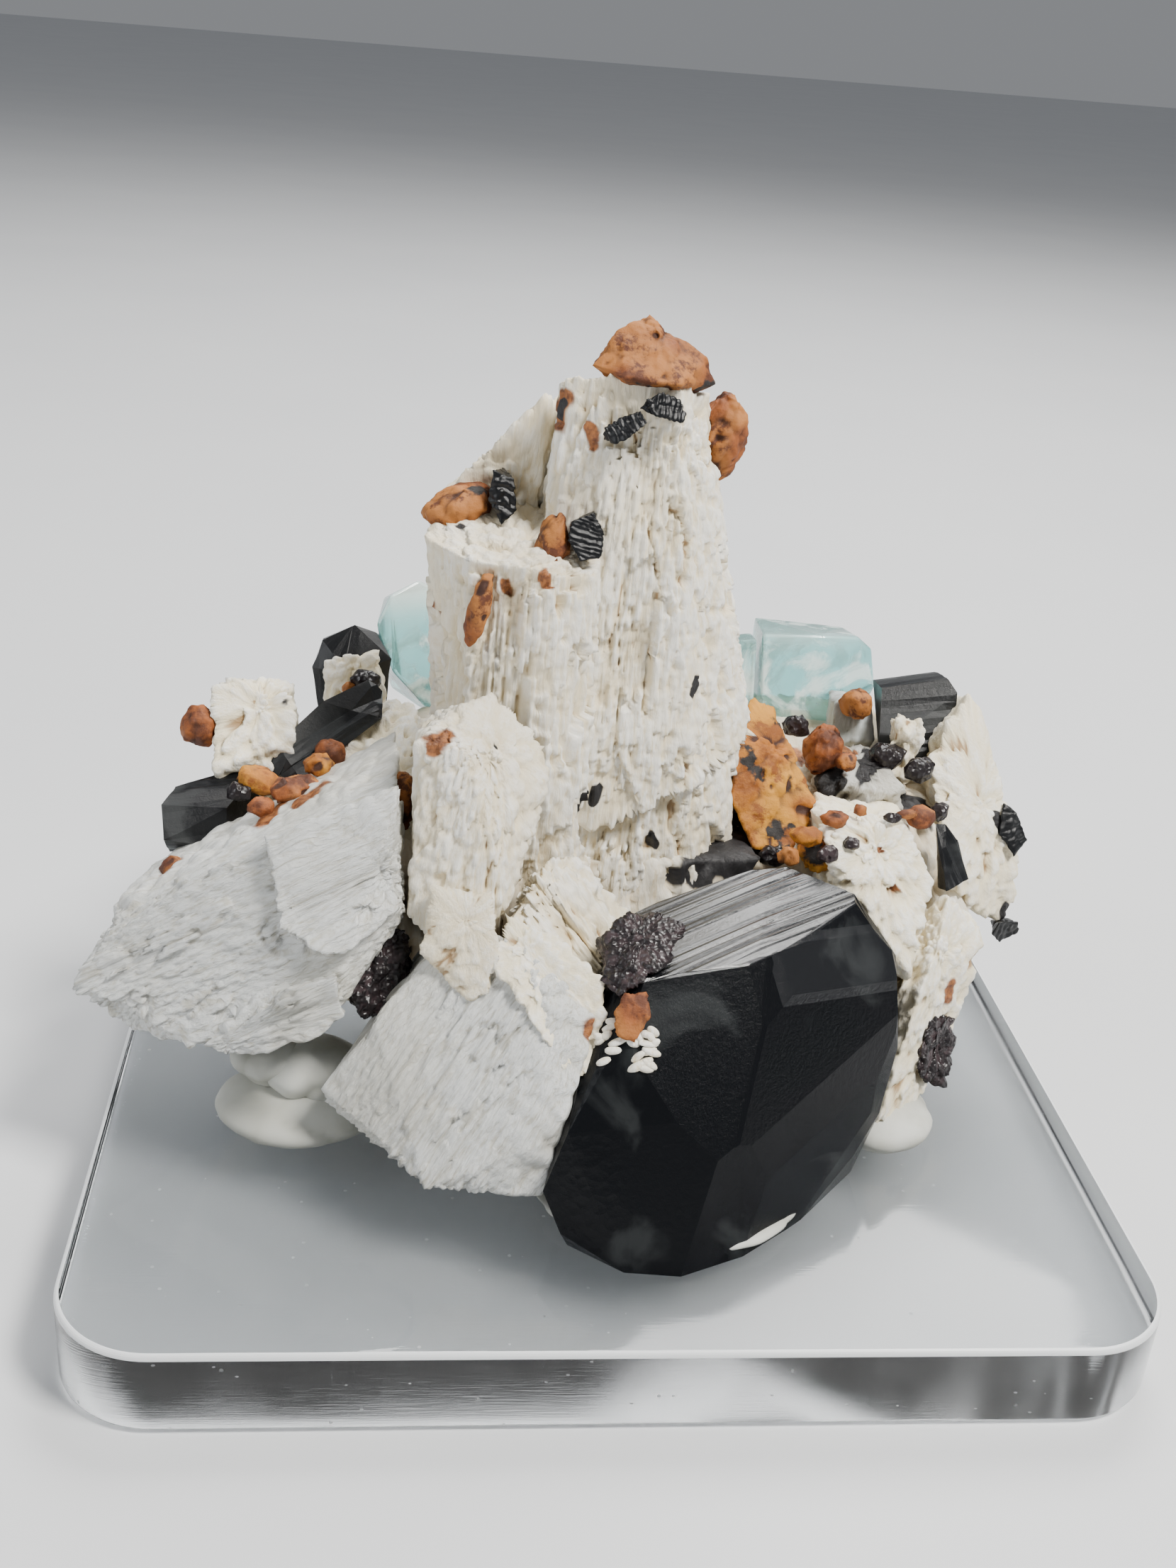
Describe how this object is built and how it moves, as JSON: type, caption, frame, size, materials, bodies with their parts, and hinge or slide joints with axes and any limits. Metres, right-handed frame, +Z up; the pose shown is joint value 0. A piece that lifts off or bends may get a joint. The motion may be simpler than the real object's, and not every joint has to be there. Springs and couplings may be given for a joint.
{
  "type": "mounted mineral specimen",
  "caption": "Aquamarine with schorl on a white feldspar cluster with rusty nodules, fixed with putty on a clear square acrylic block.",
  "frame": {"origin": "centre of the acrylic block's underside", "axes": "+Z up out of the block's top, -Y towards the viewer's side with the large schorl crystal, +X to that viewer's right"},
  "size_m": [0.0784, 0.076, 0.0666],
  "materials": {
    "clear_acrylic": "clear polished acrylic",
    "white_putty": "matte putty",
    "black_schorl": "glassy, striated",
    "aquamarine": "glassy, see-through pale blue",
    "rusty_nodule": "rough iron stain",
    "white_feldspar": "fibrous, satin",
    "grey_feldspar": "satin, slightly see-through"
  },
  "bodies": {
    "root": {"acrylic_base": "clear_acrylic", "putty_left": "white_putty", "putty_right": "white_putty", "putty_front": "white_putty", "putty_back": "white_putty", "schorl_front": "black_schorl", "schorl_left_prism": "black_schorl", "schorl_left_ribbed": "black_schorl", "schorl_left_dome": "black_schorl", "schorl_right_block": "black_schorl", "schorl_right_plate": "black_schorl", "schorl_slab_patch": "black_schorl", "schorl_slab_tip": "black_schorl", "schorl_shoulder_crystal": "black_schorl", "schorl_shoulder_ledge": "black_schorl", "schorl_top_ribs": "black_schorl", "schorl_knob": "black_schorl", "schorl_gap_patch": "black_schorl", "schorl_right_clump": "black_schorl", "aquamarine_left": "aquamarine", "aquamarine_right": "aquamarine", "aquamarine_right_small": "aquamarine", "rust_cap": "rusty_nodule", "rust_right_large": "rusty_nodule", "rust_right_low": "rusty_nodule", "rust_top_side": "rusty_nodule", "rust_shoulder_cap": "rusty_nodule", "rust_shoulder_lump": "rusty_nodule", "rust_spindle": "rusty_nodule", "rust_right_inner": "rusty_nodule", "rust_right_outer": "rusty_nodule", "rust_right_seam": "rusty_nodule", "rust_left_high": "rusty_nodule", "rust_left_middle": "rusty_nodule", "rust_left_low": "rusty_nodule", "rust_left_small": "rusty_nodule", "rust_left_brown": "rusty_nodule", "rust_left_edge": "rusty_nodule", "feldspar_tower": "white_feldspar", "feldspar_front_stub": "white_feldspar", "feldspar_leaning_stub": "white_feldspar", "feldspar_front_fan": "white_feldspar", "feldspar_left_blade": "white_feldspar", "feldspar_left_stub": "white_feldspar", "feldspar_left_slope": "white_feldspar", "feldspar_back_chip": "white_feldspar", "feldspar_right_block": "white_feldspar", "feldspar_right_lower": "white_feldspar", "feldspar_right_slab": "white_feldspar", "feldspar_right_chip": "white_feldspar", "feldspar_right_blades": "white_feldspar", "feldspar_matrix": "white_feldspar", "feldspar_grey_crystal": "grey_feldspar"}
  },
  "joints": []
}
